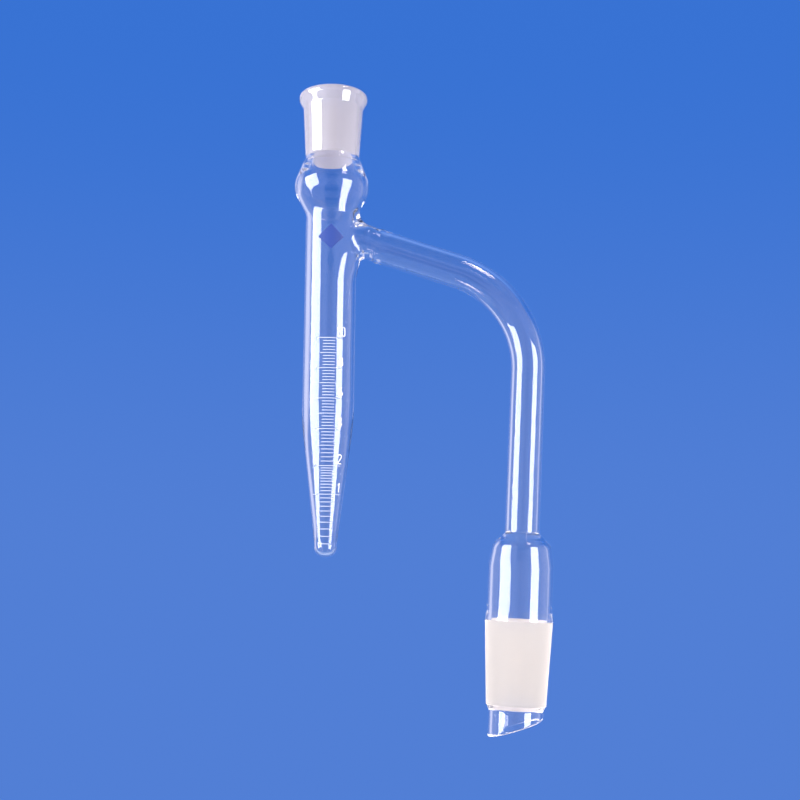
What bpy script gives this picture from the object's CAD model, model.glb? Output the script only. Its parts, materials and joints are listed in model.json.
"""Looks of a moisture receiver of fused borosilicate glass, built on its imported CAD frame.

Lengths are in millimetres and are turned into metres when a mesh or lamp is made.
The front of the object is -Y.
"""
import json
import math

import bmesh
import bpy
import numpy as np
from mathutils import Matrix

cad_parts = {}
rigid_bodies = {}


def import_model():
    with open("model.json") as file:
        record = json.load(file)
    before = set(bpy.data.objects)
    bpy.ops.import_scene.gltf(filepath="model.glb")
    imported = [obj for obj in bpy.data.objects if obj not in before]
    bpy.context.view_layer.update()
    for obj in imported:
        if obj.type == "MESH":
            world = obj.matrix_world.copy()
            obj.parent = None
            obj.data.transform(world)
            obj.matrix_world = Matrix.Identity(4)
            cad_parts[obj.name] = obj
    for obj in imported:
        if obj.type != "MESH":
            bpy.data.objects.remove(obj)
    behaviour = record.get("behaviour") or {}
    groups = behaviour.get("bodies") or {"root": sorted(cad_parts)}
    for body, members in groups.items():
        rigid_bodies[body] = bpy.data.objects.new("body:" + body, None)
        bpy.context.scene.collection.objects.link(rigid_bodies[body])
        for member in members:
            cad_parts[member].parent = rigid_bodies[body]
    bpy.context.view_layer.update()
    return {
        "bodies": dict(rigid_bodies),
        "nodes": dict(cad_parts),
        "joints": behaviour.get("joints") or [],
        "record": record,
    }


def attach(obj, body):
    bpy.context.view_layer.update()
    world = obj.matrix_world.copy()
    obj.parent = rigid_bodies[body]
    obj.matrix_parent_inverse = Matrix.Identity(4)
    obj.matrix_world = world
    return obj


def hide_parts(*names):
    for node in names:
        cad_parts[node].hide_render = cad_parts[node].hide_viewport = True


MM = 0.001

# Ground cone, drip tip, shank and shoulder, as (radius, height) about the cone's own axis
CONE_LARGE_R = 12.0
CONE_LENGTH = 29.0
CONE_SMALL_R = 10.55
CONE_LEAN = math.radians(2.3)
DRIP_R = 9.6
DRIP_BORE_R = 8.25
DRIP_MIDDLE = -37.0
DRIP_BEVEL = math.radians(19.0)
SHANK_R = 11.55
SHANK_FOOT = 3.6
SHOULDER = 20.0
CONE_BORE_R = 10.0
CAP_R = 10.35
CAP_BORE_R = 8.9
CAP_MIDDLE = 27.2
SEAM_TOP = 32.4

# Side arm
ARM_R = 6.2
ARM_BORE_R = 5.0
ARM_SLOPE = math.radians(16.6)
ARM_BEND_R = 37.0
ARM_START = 141.0
BLEND_TOP_R = 5.0
BLEND_FOOT_R = 1.8
BORE_BLEND_R = 2.0
WELD_MIDDLE = 18.5
WELD_HALF = 1.9
PULL = 1.9
BEAD_MIDDLE = 14.6
BEAD_HALF = 2.0
PATCH_END = 22.0

# Receiver
RECEIVER_X = -69.0
TUBE_R = 9.35
TUBE_BORE_R = 7.65
NECK_TOP = 146.0
SOCKET_TOP = 193.3
SOCKET_BOTTOM = 167.3
SOCKET_MOUTH_R = 9.4
SOCKET_SMALL_R = 8.1
SOCKET_BEAD_R = 12.65
SOCKET_BODY_R = 11.1
SOCKET_WAIST_R = 9.95
BULB_CORNER_R = 14.55
BULB_BORE_R = 13.3
TIP_R = 4.0
TIP_BORE_R = 3.5
BULB_MIDDLE = 157.2
TIP_BOTTOM = 21.9
TIP_FLOOR = 22.9
LIP_R = 0.5

# Mesh density: segments round the receiver, and the square patch that the arm grows from
TUBE_SEGMENTS = 160
PATCH_CELLS = 56
PATCH_LOW = 122.0
PATCH_HIGH = 152.0
ARM_SEGMENTS = 4 * PATCH_CELLS
CONE_FINISH = 1
BORE_FINISH = 2
ARC_STEP = math.radians(5.0)
RUN_STEP = 0.8


def rounded(corners):
    """Points down an outline given as (radius, height, rounding), with arcs at the corners and short runs."""
    spots = [np.array(corners[0][:2], float)]
    for before, here, after in zip(corners, corners[1:], corners[2:]):
        corner = np.array(here[:2], float)
        if here[2] == 0:
            spots.append(corner)
            continue
        back = np.array(before[:2], float) - corner
        ahead = np.array(after[:2], float) - corner
        back /= np.linalg.norm(back)
        ahead /= np.linalg.norm(ahead)
        half = math.acos(np.clip(back @ ahead, -1, 1)) / 2
        inward = (back + ahead) / np.linalg.norm(back + ahead)
        centre = corner + inward * here[2] / math.sin(half)
        start = corner + back * here[2] / math.tan(half) - centre
        end = corner + ahead * here[2] / math.tan(half) - centre
        turn = math.pi - 2 * half
        steps = max(2, math.ceil(turn / ARC_STEP))
        for step in range(steps + 1):
            share = step / steps
            spot = start * math.sin((1 - share) * turn) + end * math.sin(share * turn)
            spots.append(centre + spot / math.sin(turn))
    spots.append(np.array(corners[-1][:2], float))
    fine = [spots[0]]
    for start, end in zip(spots, spots[1:]):
        pieces = max(1, math.ceil(np.linalg.norm(end - start) / RUN_STEP))
        for piece in range(1, pieces + 1):
            fine.append(start + (end - start) * piece / pieces)
    return np.array(fine)


def receiver_outside():
    """Outline of the receiver from just inside its mouth, over the bead and down to the tip."""
    return rounded([
        (SOCKET_MOUTH_R, SOCKET_TOP - 1.0, 0),
        (SOCKET_MOUTH_R, SOCKET_TOP, LIP_R),
        (SOCKET_BEAD_R, SOCKET_TOP, 1.4),
        (SOCKET_BEAD_R, SOCKET_TOP - 2.3, 1.6),
        (SOCKET_BODY_R, SOCKET_TOP - 5.4, 2.0),
        (SOCKET_WAIST_R, SOCKET_BOTTOM + 1.5, 4.0),
        (BULB_CORNER_R, BULB_MIDDLE, 9.0),
        (TUBE_R, NECK_TOP + 1.0, 4.0),
        (TUBE_R, 70.5, 90.0),
        (TIP_R, 27.0, 8.0),
        (TIP_R, TIP_BOTTOM, 3.6),
        (0.0, TIP_BOTTOM, 0),
    ])


def receiver_bore():
    """Outline of the receiver's bore from its mouth down to the floor of the tip."""
    return rounded([
        (SOCKET_MOUTH_R, SOCKET_TOP - 1.0, 0),
        (SOCKET_SMALL_R, SOCKET_BOTTOM, 3.0),
        (BULB_BORE_R, BULB_MIDDLE, 8.3),
        (TUBE_BORE_R, NECK_TOP + 0.8, 4.0),
        (TUBE_BORE_R, 65.0, 90.0),
        (TIP_BORE_R, 31.6, 30.0),
        (TIP_BORE_R, TIP_FLOOR, 3.1),
        (0.0, TIP_FLOOR, 0),
    ])


def leg_outside():
    """Outline of the shoulder, shank, ground cone and drip tip, down to the start of the bevelled end."""
    return rounded([
        (ARM_R, SEAM_TOP, 0),
        (ARM_R, SEAM_TOP - 1.2, 1.0),
        (CAP_R, CAP_MIDDLE, 4.0),
        (SHANK_R, SHOULDER, 14.0),
        (SHANK_R, SHANK_FOOT, 8.0),
        (CONE_LARGE_R, 0, 0),
        (CONE_SMALL_R, -CONE_LENGTH, 0),
        (DRIP_R, -CONE_LENGTH - 1.6, 2.0),
        (DRIP_R, -CONE_LENGTH - 3.0, 0),
    ])


def leg_bore():
    """Outline of the bore through the same pieces."""
    return rounded([
        (ARM_BORE_R, SEAM_TOP, 0),
        (ARM_BORE_R, SEAM_TOP - 1.8, 1.5),
        (CAP_BORE_R, CAP_MIDDLE - 0.7, 3.0),
        (CONE_BORE_R, SHOULDER - 0.5, 12.0),
        (CONE_BORE_R, -2.0, 30.0),
        (DRIP_BORE_R, -CONE_LENGTH, 10.0),
        (DRIP_BORE_R, -CONE_LENGTH - 3.0, 0),
    ])


class Skin:
    """Vertices, faces and material numbers of one mesh as it grows."""

    def __init__(self):
        self.points = []
        self.faces = []
        self.grounds = []

    def add(self, points):
        """Stores rows of points and returns their numbers in the same layout."""
        points = np.asarray(points, float)
        first = sum(len(block) for block in self.points)
        self.points.append(points.reshape(-1, 3))
        return np.arange(points[..., 0].size).reshape(points.shape[:-1]) + first

    def weave(self, rows, ground=None, skip=None):
        """Joins closed rows of point numbers with four-sided faces, leaving out the cells in skip."""
        around = rows.shape[1]
        for row in range(len(rows) - 1):
            for column in range(around):
                if skip is not None and skip[row, column]:
                    continue
                beside = (column + 1) % around
                upper = (rows[row, column], rows[row, beside])
                lower = (rows[row + 1, beside], rows[row + 1, column])
                self.faces.append(upper + lower)
                self.grounds.append(0 if ground is None else ground[row])


def split_outline(outline):
    """The outline above the patch, the patch's own even rows, and the outline below it."""
    heights = outline[:, 1]
    past_top = np.argmax(heights < PATCH_HIGH)
    past_bottom = np.argmax(heights < PATCH_LOW)
    rows = np.linspace(PATCH_HIGH, PATCH_LOW, PATCH_CELLS + 1)
    radii = outline_radius(outline, rows)
    return outline[:past_top], np.column_stack([radii, rows]), outline[past_bottom:]


def outline_radius(outline, heights):
    """Radius of an outline at some heights below the bulb."""
    below = outline[outline[:, 1] < BULB_MIDDLE]
    return np.interp(heights, below[::-1, 1], below[::-1, 0])


def arm_frame():
    """Start, direction and upward direction of the sloping run's axis."""
    start = np.array([RECEIVER_X, 0, ARM_START])
    along = np.array([math.cos(ARM_SLOPE), 0, -math.sin(ARM_SLOPE)])
    up = np.array([math.sin(ARM_SLOPE), 0, math.cos(ARM_SLOPE)])
    return start, along, up


def spread(angles, up):
    """Unit vectors round a tube whose upward direction is up, turning from it to +Y."""
    side = np.array([0.0, 1.0, 0.0])
    return np.cos(angles)[:, None] * up + np.sin(angles)[:, None] * side


def nearest_on(outline, radius, height):
    """Nearest outline point to each (radius, height), and the signed distance to it."""
    here = np.column_stack([radius, height])
    starts = outline[:-1]
    runs = outline[1:] - starts
    share = np.einsum("ijk,jk->ij", here[:, None] - starts[None], runs) / np.einsum("jk,jk->j", runs, runs)
    feet = starts[None] + np.clip(share, 0, 1)[..., None] * runs[None]
    gaps = np.linalg.norm(here[:, None] - feet, axis=2)
    best = gaps.argmin(1)
    rows = np.arange(len(here))
    sign = np.where(radius > outline_radius(outline, height), 1, -1)
    return feet[rows, best], gaps[rows, best] * sign


def ball_seats(outline, arm_radius, ball, angles):
    """Where a ball rolled round the join touches both tubes: how far along the arm, its centre, its foot."""
    start, along, up = arm_frame()
    ways = spread(angles, up)
    low = np.full(len(angles), 3.0)
    high = np.full(len(angles), 40.0)
    out = (arm_radius + ball)[:, None]
    near = outline[(outline[:, 1] < BULB_MIDDLE) & (outline[:, 1] > 100)]
    for _ in range(40):
        middle = (low + high) / 2
        centre = start + along * middle[:, None] + ways * out
        across = np.hypot(centre[:, 0] - RECEIVER_X, centre[:, 1])
        foot, gap = nearest_on(near, across, centre[:, 2])
        low = np.where(gap < ball, middle, low)
        high = np.where(gap < ball, high, middle)
    turn = np.arctan2(centre[:, 1], centre[:, 0] - RECEIVER_X)
    return middle, centre, foot, turn


def on_turn(radius, turn, height):
    """Points on the receiver from radius, angle from +X and height."""
    return np.stack([RECEIVER_X + radius * np.cos(turn), radius * np.sin(turn), height], -1)


def patch_border():
    """Angles and heights round the edge of the patch, from the middle of its top towards +Y."""
    half = PATCH_CELLS // 2
    step = 2 * math.pi / TUBE_SEGMENTS
    columns = list(range(half)) + [half] * PATCH_CELLS + list(range(half, -half, -1))
    columns += [-half] * PATCH_CELLS + list(range(-half, 0))
    rows = [0] * half + list(range(PATCH_CELLS)) + [PATCH_CELLS] * PATCH_CELLS
    rows += list(range(PATCH_CELLS, 0, -1)) + [0] * half
    return np.array(columns) * step, np.array(columns), np.array(rows)


def join_rows(outline, arm_radius, top_ball, foot_ball):
    """Rows from the patch's edge over the smooth blend on to the arm, rounder at the top than below."""
    start, along, up = arm_frame()
    angles = np.arange(ARM_SEGMENTS) * 2 * math.pi / ARM_SEGMENTS
    ball = foot_ball + (top_ball - foot_ball) * (0.5 + 0.5 * np.cos(angles))
    reach, centre, foot, turn = ball_seats(outline, arm_radius, ball, angles)
    border_turn, _, border_row = patch_border()
    border_height = PATCH_HIGH - border_row * (PATCH_HIGH - PATCH_LOW) / PATCH_CELLS
    rows = []
    for share in np.linspace(0, 1, 9)[1:]:
        height = border_height + (foot[:, 1] - border_height) * share
        angle = border_turn + (turn - border_turn) * share
        rows.append(on_turn(outline_radius(outline, height), angle, height))
    ways = spread(angles, up)
    first = on_turn(foot[:, 0], turn, foot[:, 1]) - centre
    last = -ways * ball[:, None]
    bend = np.arccos(np.clip((first * last).sum(1) / ball ** 2, -1, 1))[:, None]
    for share in np.linspace(0, 1, 17)[1:]:
        spot = first * np.sin((1 - share) * bend) + last * np.sin(share * bend)
        rows.append(centre + spot / np.sin(bend))
    for share in np.linspace(0, 1, 11)[1:]:
        far = reach + (PATCH_END - reach) * share
        rows.append(start + along * far[:, None] + ways * arm_radius)
    return rows


def leg_frame():
    """Upward direction of the cone's axis and the direction that the arm's upward side turns to there."""
    axis = np.array([math.sin(CONE_LEAN), 0, math.cos(CONE_LEAN)])
    out = np.array([math.cos(CONE_LEAN), 0, -math.sin(CONE_LEAN)])
    return axis, out


def arm_corner():
    """Where the two axes meet, as a distance along the sloping run and a height up the cone's axis."""
    start, along, _ = arm_frame()
    axis, _ = leg_frame()
    system = np.array([[along[0], -axis[0]], [along[2], -axis[2]]])
    return np.linalg.solve(system, [-start[0], -start[2]])


def arm_sections(radius):
    """Centre, upward direction and radius of each section of the run, bend and drop."""
    start, along, up = arm_frame()
    axis, _ = leg_frame()
    run_end, corner_height = arm_corner()
    turn = math.acos(along @ -axis)
    tangent = ARM_BEND_R * math.tan(turn / 2)
    sections = []
    for far in np.linspace(PATCH_END, run_end - tangent, 34)[1:]:
        sections.append((start + along * far, up, radius))
    hub = sections[-1][0] - up * ARM_BEND_R
    for share in np.linspace(0, 1, 61)[1:]:
        way = up * math.cos(share * turn) + along * math.sin(share * turn)
        sections.append((hub + way * ARM_BEND_R, way, radius))
    for height in np.linspace(corner_height - tangent, SEAM_TOP, 76)[1:]:
        sections.append((axis * height, leg_frame()[1], radius))
    return sections


def leg_sections(outline):
    """The same for the turned outline below the seam."""
    axis, out = leg_frame()
    return [(axis * height, out, radius) for radius, height in outline[1:]]


def section_rows(sections):
    """Closed rows of points round each section."""
    angles = np.arange(ARM_SEGMENTS) * 2 * math.pi / ARM_SEGMENTS
    return [centre + spread(angles, up) * radius for centre, up, radius in sections]


def bevel_height(radius, angles):
    """Height of the slanted mouth's plane at a radius, lowest towards the receiver."""
    return DRIP_MIDDLE + radius * np.cos(angles) * math.tan(DRIP_BEVEL)


def drip_rows(radius, top, edge_height):
    """Rows that stretch a straight wall down to the slanted end."""
    axis, out = leg_frame()
    angles = np.arange(ARM_SEGMENTS) * 2 * math.pi / ARM_SEGMENTS
    rows = []
    for share in np.linspace(0, 1, 9)[1:]:
        height = top + (edge_height - top) * share
        rows.append(axis * height[:, None] + spread(angles, out) * radius)
    return rows


def drip_lip_rows():
    """The fire-polished rim that joins the drip tip's outside to its bore."""
    axis, out = leg_frame()
    angles = np.arange(ARM_SEGMENTS) * 2 * math.pi / ARM_SEGMENTS
    middle = (DRIP_R + DRIP_BORE_R) / 2
    thick = (DRIP_R - DRIP_BORE_R) / 2
    rows = []
    for share in np.linspace(0, 1, 13)[1:]:
        radius = middle + thick * math.cos(share * math.pi)
        height = bevel_height(radius, angles) + thick * (1 - math.sin(share * math.pi))
        rows.append(axis * height[:, None] + spread(angles, out) * radius)
    return rows


def build_surface(skin, receiver, leg, arm_radius, balls, drip_radius, is_outside):
    """Adds the outside or the bore of the whole object to the skin."""
    above, patch, below = split_outline(receiver)
    outline = np.concatenate([above, patch, below])
    turns = np.arange(TUBE_SEGMENTS) * 2 * math.pi / TUBE_SEGMENTS
    points = [on_turn(radius, turns, np.full(TUBE_SEGMENTS, height)) for radius, height in outline]
    rows = skin.add(points)
    half = PATCH_CELLS // 2
    skip = np.zeros((len(outline), TUBE_SEGMENTS), bool)
    skip[len(above):len(above) + PATCH_CELLS, :half] = True
    skip[len(above):len(above) + PATCH_CELLS, -half:] = True
    ground = []
    for radius, height in outline[1:]:
        rim = is_outside and radius < 11.4 and height > SOCKET_TOP - 1.1
        bore = not is_outside and height > SOCKET_BOTTOM + 0.9
        ground.append(BORE_FINISH if rim or bore else 0)
    skin.weave(rows, ground, skip)

    _, columns, border_row = patch_border()
    border = rows[len(above) + border_row, columns % TUBE_SEGMENTS]
    angles = np.arange(ARM_SEGMENTS) * 2 * math.pi / ARM_SEGMENTS
    arm = join_rows(outline, arm_radius, *balls) + section_rows(arm_sections(arm_radius))
    skin.weave(np.vstack([border[None], skin.add(arm)]))

    leg_rows = section_rows(leg_sections(leg))
    thick = (DRIP_R - DRIP_BORE_R) / 2
    edge = bevel_height(drip_radius, angles) + thick
    drip = drip_rows(drip_radius, leg[-1, 1], edge)
    if is_outside:
        drip += drip_lip_rows()
    ground = []
    for height in leg[1:, 1]:
        ground.append(CONE_FINISH if is_outside and -CONE_LENGTH - 0.01 < height < -0.01 else 0)
    last_arm = skin.add([arm[-1]])
    lower = np.vstack([last_arm, skin.add(leg_rows + drip)])
    skin.weave(lower, ground + [0] * len(drip))


def wander(points, seed, waves_per_mm):
    """A slow uneven field between -1 and 1, as hand-worked glass has, from a few crossing waves."""
    chance = np.random.default_rng(seed)
    field = np.zeros(len(points))
    for _ in range(7):
        way = chance.normal(size=3)
        way *= waves_per_mm / np.linalg.norm(way)
        field += np.sin(points @ way * 2 * math.pi + chance.uniform(0, 2 * math.pi))
    return field / 4


def hump(value, middle, half):
    """1 at the middle, falling smoothly to 0 at half a width away."""
    return 0.5 + 0.5 * np.cos(np.clip(np.abs(value - middle) / half, 0, 1) * math.pi)


def hand_worked(points, normals, bore):
    """Moves the surface a little, as a glassblower leaves it: wavy walls, a lumpy weld and soft seams."""
    start, along, _ = arm_frame()
    far = (points - start) @ along
    offset = points - start - far[:, None] * along
    reach = np.linalg.norm(offset, axis=1)
    beside = np.clip((14 - reach) / 3, 0, 1)
    weld = hump(far, WELD_MIDDLE, WELD_HALF) * beside
    lumps = hump(far, 15.0, 6.5) * beside * wander(points, 5, 0.17)
    below = np.clip(-offset[:, 2] / np.maximum(reach, 1e-9), 0, 1)
    bead = hump(far, BEAD_MIDDLE, BEAD_HALF) * below ** 2 * (reach < 9)
    across = np.hypot(points[:, 0] - RECEIVER_X, points[:, 1])
    turn = np.arctan2(points[:, 1], points[:, 0] - RECEIVER_X)
    pulled = hump(turn, 0, math.radians(85)) * hump(points[:, 2], 134.5, 13.5)
    pulled *= np.clip((17 - across) / 4, 0, 1)
    axis, _ = leg_frame()
    height = points @ axis
    right = points[:, 0] > -30
    seam = (hump(height, 31.0, 1.0) + 0.8 * hump(height, 28.8, 1.0)) * right
    seam *= 1 + 0.6 * wander(points, 8, 0.09)
    foot = (hump(height, 4.2, 0.9) + 0.7 * hump(height, 2.2, 0.8)) * right
    ripple = np.sin(points[:, 2] * 2 * math.pi / 1.15) * hump(points[:, 2], 180, 11) * ~right
    blown = hump(points[:, 2], 156, 14) * ~right * wander(points, 11, 0.05)
    move = np.where(bore, 0.30, 0.25) * weld + 0.22 * lumps + np.where(bore, 0.5, 0.55) * bead
    move += np.where(bore, 0.32, -0.16) * seam + np.where(bore, 0.10, 0.07) * foot
    move += bore * (0.05 * wander(points, 3, 0.035) + 0.10 * blown)
    move -= ~bore * 0.035 * (1 + ripple) * hump(points[:, 2], 180, 11) * ~right
    return points + normals * move[:, None] + np.array([1.0, 0, 0]) * (PULL * pulled)[:, None]


def main_glass():
    """The whole glass body as one closed mesh: outside, bore and both fire-polished mouths."""
    skin = Skin()
    build_surface(skin, receiver_outside(), leg_outside(), ARM_R, (BLEND_TOP_R, BLEND_FOOT_R), DRIP_R, True)
    outside_count = sum(len(block) for block in skin.points)
    bore_balls = (BORE_BLEND_R, BORE_BLEND_R)
    build_surface(skin, receiver_bore(), leg_bore(), ARM_BORE_R, bore_balls, DRIP_BORE_R, False)
    points = np.concatenate(skin.points)
    in_bore = np.arange(len(points)) >= outside_count
    piece = make_piece("fused_glass", points, skin.faces, skin.grounds, in_bore)
    mesh = piece.data
    count = len(mesh.vertices)
    spots = np.empty(count * 3)
    normals = np.empty(count * 3)
    bore = np.empty(count)
    mesh.vertices.foreach_get("co", spots)
    mesh.vertices.foreach_get("normal", normals)
    mesh.attributes["bore"].data.foreach_get("value", bore)
    spots = hand_worked(spots.reshape(-1, 3) / MM, normals.reshape(-1, 3), bore > 0.5)
    mesh.vertices.foreach_set("co", (spots * MM).ravel())
    mesh.attributes.remove(mesh.attributes["bore"])
    mesh.update()
    return piece


def make_piece(name, points, faces, finishes, bore):
    """A closed, smooth-shaded mesh object from points in millimetres."""
    mesh = bpy.data.meshes.new(name)
    mesh.from_pydata((points * MM).tolist(), [], [tuple(int(i) for i in face) for face in faces])
    mesh.polygons.foreach_set("material_index", np.array(finishes, np.int32))
    mesh.attributes.new("bore", "FLOAT", "POINT").data.foreach_set("value", bore.astype(float))
    shape = bmesh.new()
    shape.from_mesh(mesh)
    bmesh.ops.remove_doubles(shape, verts=shape.verts, dist=2e-7)
    bmesh.ops.dissolve_degenerate(shape, edges=shape.edges, dist=1e-8)
    bmesh.ops.recalc_face_normals(shape, faces=shape.faces)
    open_edges = sum(1 for edge in shape.edges if len(edge.link_faces) != 2)
    print(name, "faces", len(shape.faces), "open edges", open_edges)
    shape.to_mesh(mesh)
    shape.free()
    mesh.polygons.foreach_set("use_smooth", np.ones(len(mesh.polygons), bool))
    mesh.update()
    piece = bpy.data.objects.new(name, mesh)
    bpy.context.scene.collection.objects.link(piece)
    return piece


def new_material(name):
    """A material with its nodes, and its Principled shader."""
    material = bpy.data.materials.new(name)
    material.use_nodes = True
    return material, material.node_tree.nodes["Principled BSDF"]


def add_grain(material, shader, scale, depth):
    """A fine uneven surface on a shader."""
    nodes = material.node_tree.nodes
    links = material.node_tree.links
    place = nodes.new("ShaderNodeTexCoord")
    noise = nodes.new("ShaderNodeTexNoise")
    bump = nodes.new("ShaderNodeBump")
    noise.inputs["Scale"].default_value = scale
    noise.inputs["Detail"].default_value = 2.0
    bump.inputs["Strength"].default_value = 1.0
    bump.inputs["Distance"].default_value = depth
    links.new(place.outputs["Object"], noise.inputs["Vector"])
    links.new(noise.outputs["Fac"], bump.inputs["Height"])
    links.new(bump.outputs["Normal"], shader.inputs["Normal"])


def clear_glass():
    """Fire-polished borosilicate glass."""
    material, shader = new_material("clear_glass")
    shader.inputs["Base Color"].default_value = GLASS_TINT
    shader.inputs["Roughness"].default_value = 0.0
    shader.inputs["IOR"].default_value = 1.47
    shader.inputs["Transmission Weight"].default_value = 1.0
    add_grain(material, shader, 90.0, 0.00001)
    return material


def ground_glass(name, colour, roughness, clearness):
    """A finely ground face of a joint."""
    material, shader = new_material(name)
    shader.inputs["Base Color"].default_value = colour
    shader.inputs["Roughness"].default_value = roughness
    shader.inputs["IOR"].default_value = 1.47
    shader.inputs["Transmission Weight"].default_value = clearness
    shader.inputs["Specular IOR Level"].default_value = 0.2
    add_grain(material, shader, 2600.0, 0.00003)
    return material


def enamel(name, colour):
    """Fired enamel."""
    material, shader = new_material(name)
    shader.inputs["Base Color"].default_value = colour
    shader.inputs["Roughness"].default_value = 0.6
    shader.inputs["Specular IOR Level"].default_value = 0.2
    add_grain(material, shader, 3000.0, 0.000004)
    return material


# Colours of the glass, the ground faces, the enamel and the floor
GLASS_TINT = (0.97, 0.955, 0.955, 1)
CONE_FROST = (0.292, 0.260, 0.236, 1)
BORE_FROST = (0.17, 0.157, 0.18, 1)
LINE_WHITE = (0.20, 0.215, 0.28, 1)
NUMERAL_WHITE = (0.44, 0.42, 0.42, 1)
MARK_BLUE = (0.01, 0.025, 0.12, 1)
FLOOR_PAPER = (0.26, 0.33, 0.47, 1)

# Studio
PAPER_LOW = (0.084, 0.212, 0.668)
PAPER_HIGH = (0.040, 0.170, 0.655)
PAPER_PALE = (0.16, 0.32, 0.85)
ROOM_PALE = (0.66, 0.72, 1.07)
ROOM_MIDDLE = (0.45, 0.42, 0.52)
ROOM_DIM = (0.05, 0.04, 0.10)
FLOOR_HEIGHT = -0.115


def world_part(nodes, kind, operation, *values):
    """A world node whose inputs are other nodes' outputs or plain numbers, and its first output."""
    node = nodes.new(kind)
    node.operation = operation
    for slot, value in zip(node.inputs, values):
        if isinstance(value, (int, float)):
            slot.default_value = value
        else:
            node.id_data.links.new(value, slot)
    return node.outputs[0]


def ramp(nodes, value, start, end):
    """Rises smoothly from 0 to 1 as a value goes from start to end."""
    node = nodes.new("ShaderNodeMapRange")
    node.interpolation_type = "SMOOTHSTEP"
    node.inputs["From Min"].default_value = start
    node.inputs["From Max"].default_value = end
    node.id_data.links.new(value, node.inputs["Value"])
    return node.outputs["Result"]


def blend_colours(nodes, share, first, second):
    """A colour between two, each a plain colour or another node's output."""
    node = nodes.new("ShaderNodeMix")
    node.data_type = "RGBA"
    node.id_data.links.new(share, node.inputs["Factor"])
    for slot, colour in ((node.inputs[6], first), (node.inputs[7], second)):
        if isinstance(colour, tuple):
            slot.default_value = (*colour, 1)
        else:
            node.id_data.links.new(colour, slot)
    return node.outputs[2]


def make_world():
    """Blue paper behind the object, pale walls at the sides, and a dim room with pale sides in front."""
    world = bpy.data.worlds.new("studio")
    bpy.context.scene.world = world
    world.use_nodes = True
    nodes = world.node_tree.nodes
    parts = nodes.new("ShaderNodeSeparateXYZ")
    world.node_tree.links.new(nodes.new("ShaderNodeTexCoord").outputs["Generated"], parts.inputs["Vector"])
    aside = world_part(nodes, "ShaderNodeMath", "ABSOLUTE", parts.outputs["X"])
    steep = world_part(nodes, "ShaderNodeMath", "ABSOLUTE", parts.outputs["Z"])
    level = ramp(nodes, steep, 0.65, 0.35)
    paper = blend_colours(nodes, ramp(nodes, parts.outputs["Z"], 0.02, 0.42), PAPER_LOW, PAPER_HIGH)
    paper = blend_colours(nodes, ramp(nodes, steep, 0.48, 0.75), paper, PAPER_PALE)
    left_wall = ramp(nodes, parts.outputs["X"], -0.30, -0.46)
    right_wall = ramp(nodes, parts.outputs["X"], 0.72, 0.88)
    walls = world_part(nodes, "ShaderNodeMath", "ADD", left_wall, right_wall)
    wall = world_part(nodes, "ShaderNodeMath", "MULTIPLY", walls, level)
    behind = blend_colours(nodes, wall, paper, ROOM_PALE)
    room = world_part(nodes, "ShaderNodeMath", "MULTIPLY", ramp(nodes, aside, 0.10, 0.40), level)
    before = blend_colours(nodes, room, ROOM_MIDDLE, ROOM_PALE)
    near_x = ramp(nodes, aside, 0.46, 0.30)
    near_z = ramp(nodes, steep, 0.28, 0.42)
    near = world_part(nodes, "ShaderNodeMath", "MULTIPLY", near_x, near_z)
    before = blend_colours(nodes, near, before, ROOM_DIM)
    colour = blend_colours(nodes, ramp(nodes, parts.outputs["Y"], 0.1, -0.3), behind, before)
    world.node_tree.links.new(colour, nodes["Background"].inputs["Color"])


def softbox(name, place, target, width, height, radiance, lean=0.0):
    """A flat lamp that faces a point, leans to one side and is hidden from the camera."""
    lamp = bpy.data.lights.new(name, "AREA")
    lamp.shape = "RECTANGLE"
    lamp.size = width * MM
    lamp.size_y = height * MM
    lamp.energy = radiance * math.pi * width * height * MM * MM
    lamp.diffuse_factor = 0.04
    box = bpy.data.objects.new(name, lamp)
    bpy.context.scene.collection.objects.link(box)
    gaze = np.array(target, float) - np.array(place, float)
    gaze /= np.linalg.norm(gaze)
    right = np.cross(gaze, [0, 0, 1])
    right /= np.linalg.norm(right)
    right = right * math.cos(lean) + np.cross(right, gaze) * math.sin(lean)
    up = np.cross(right, gaze)
    frame = np.column_stack([right, up, -gaze])
    box.matrix_world = Matrix.Translation([c * MM for c in place]) @ Matrix(frame.tolist()).to_4x4()
    box.visible_camera = False
    box.visible_transmission = False
    return box


def make_lights():
    """Two tall soft lamps, at the left and at the front right, and a small warm one above on the right."""
    softbox("left_box", (-690, -285, 220), (-50, 0, 220), 550, 660, 20, math.radians(18))
    softbox("right_box", (468, -486, -139), (-35, 0, -139), 370, 880, 21)
    top = softbox("top_box", (278, -280, 700), (-30, 0, 140), 150, 150, 26)
    top.data.color = (1.0, 0.88, 0.80)
    top.visible_transmission = True


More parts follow.
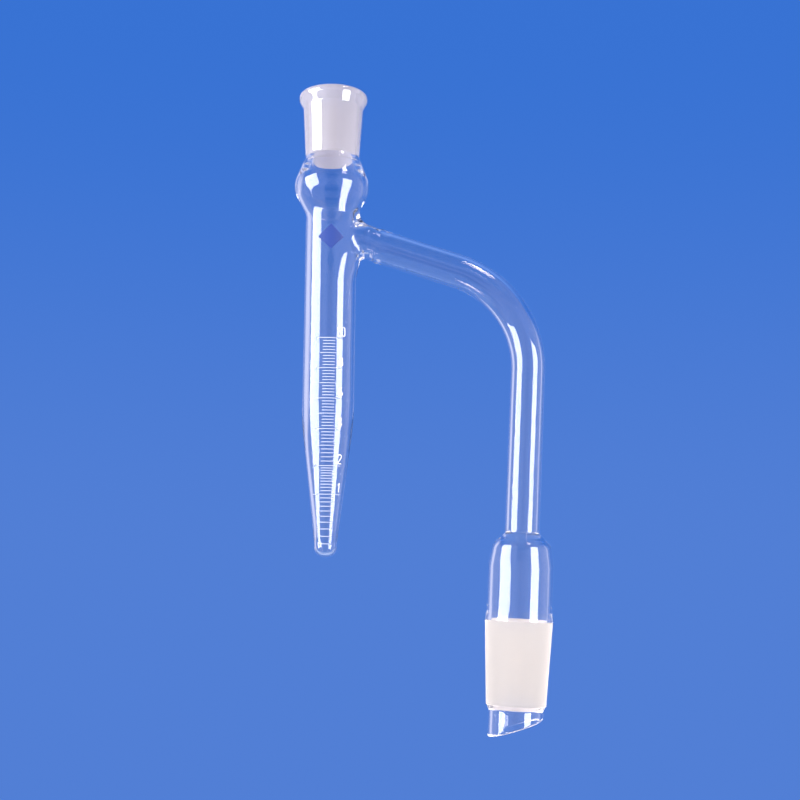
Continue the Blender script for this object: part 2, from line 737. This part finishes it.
def make_floor():
    """A pale round floor that fades into the background."""
    mesh = bpy.data.meshes.new("floor")
    rim = []
    for step in range(96):
        turn = 2 * math.pi * step / 96
        rim.append((-0.03 + 0.3 * math.cos(turn), 0.3 * math.sin(turn), FLOOR_HEIGHT))
    mesh.from_pydata(rim, [], [tuple(range(96))])
    floor = bpy.data.objects.new("floor", mesh)
    bpy.context.scene.collection.objects.link(floor)
    material, shader = new_material("floor_paper")
    shader.inputs["Base Color"].default_value = FLOOR_PAPER
    shader.inputs["Roughness"].default_value = 0.8
    shader.inputs["Specular IOR Level"].default_value = 0.0
    add_grain(material, shader, 400.0, 0.00005)
    floor.data.materials.append(material)


def make_camera():
    """The photograph's viewing angle: low in front of the object and looking up a little."""
    place = np.array([-68.82, -470.98, 7.57]) * MM
    yaw, pitch, roll = (math.radians(angle) for angle in (3.137, 8.576, 0.563))
    gaze = np.array([math.sin(yaw) * math.cos(pitch), math.cos(yaw) * math.cos(pitch), math.sin(pitch)])
    flat = np.array([math.cos(yaw), -math.sin(yaw), 0])
    up = np.cross(flat, gaze)
    right = flat * math.cos(roll) + up * math.sin(roll)
    up = np.cross(right, gaze)
    camera = bpy.data.objects.new("camera", bpy.data.cameras.new("camera"))
    camera.data.lens = 59.31
    camera.data.sensor_width = 36.0
    bpy.context.scene.collection.objects.link(camera)
    frame = np.column_stack([right, up, -gaze])
    camera.matrix_world = Matrix.Translation(place.tolist()) @ Matrix(frame.tolist()).to_4x4()
    bpy.context.scene.camera = camera


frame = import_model()

subparts = frame["record"]["subparts"]
GLASS_NODES = [part["node"] for part in subparts if part["material_slot"].endswith("glass")]
glass = main_glass()
glass.data.materials.append(clear_glass())
glass.data.materials.append(ground_glass("ground_cone", CONE_FROST, 0.75, 0.5))
glass.data.materials.append(ground_glass("ground_bore", BORE_FROST, 0.75, 0.5))
glass.visible_shadow = False
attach(glass, "root")
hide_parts(*GLASS_NODES)

line_enamel = enamel("white_enamel", LINE_WHITE)
numeral_enamel = enamel("numeral_enamel", NUMERAL_WHITE)
mark_enamel = enamel("blue_enamel", MARK_BLUE)
for part in subparts:
    looks = frame["nodes"][part["node"]].data.materials
    if part["material_slot"] == "white_enamel":
        looks.clear()
        looks.append(numeral_enamel if "numeral" in part["node"] else line_enamel)
    if part["material_slot"] == "blue_enamel":
        looks.clear()
        looks.append(mark_enamel)

make_world()
make_lights()
make_floor()
make_camera()
bpy.context.scene.view_settings.view_transform = "Standard"
bpy.context.scene.cycles.max_bounces = 40
bpy.context.scene.cycles.transmission_bounces = 40
bpy.context.scene.cycles.glossy_bounces = 40
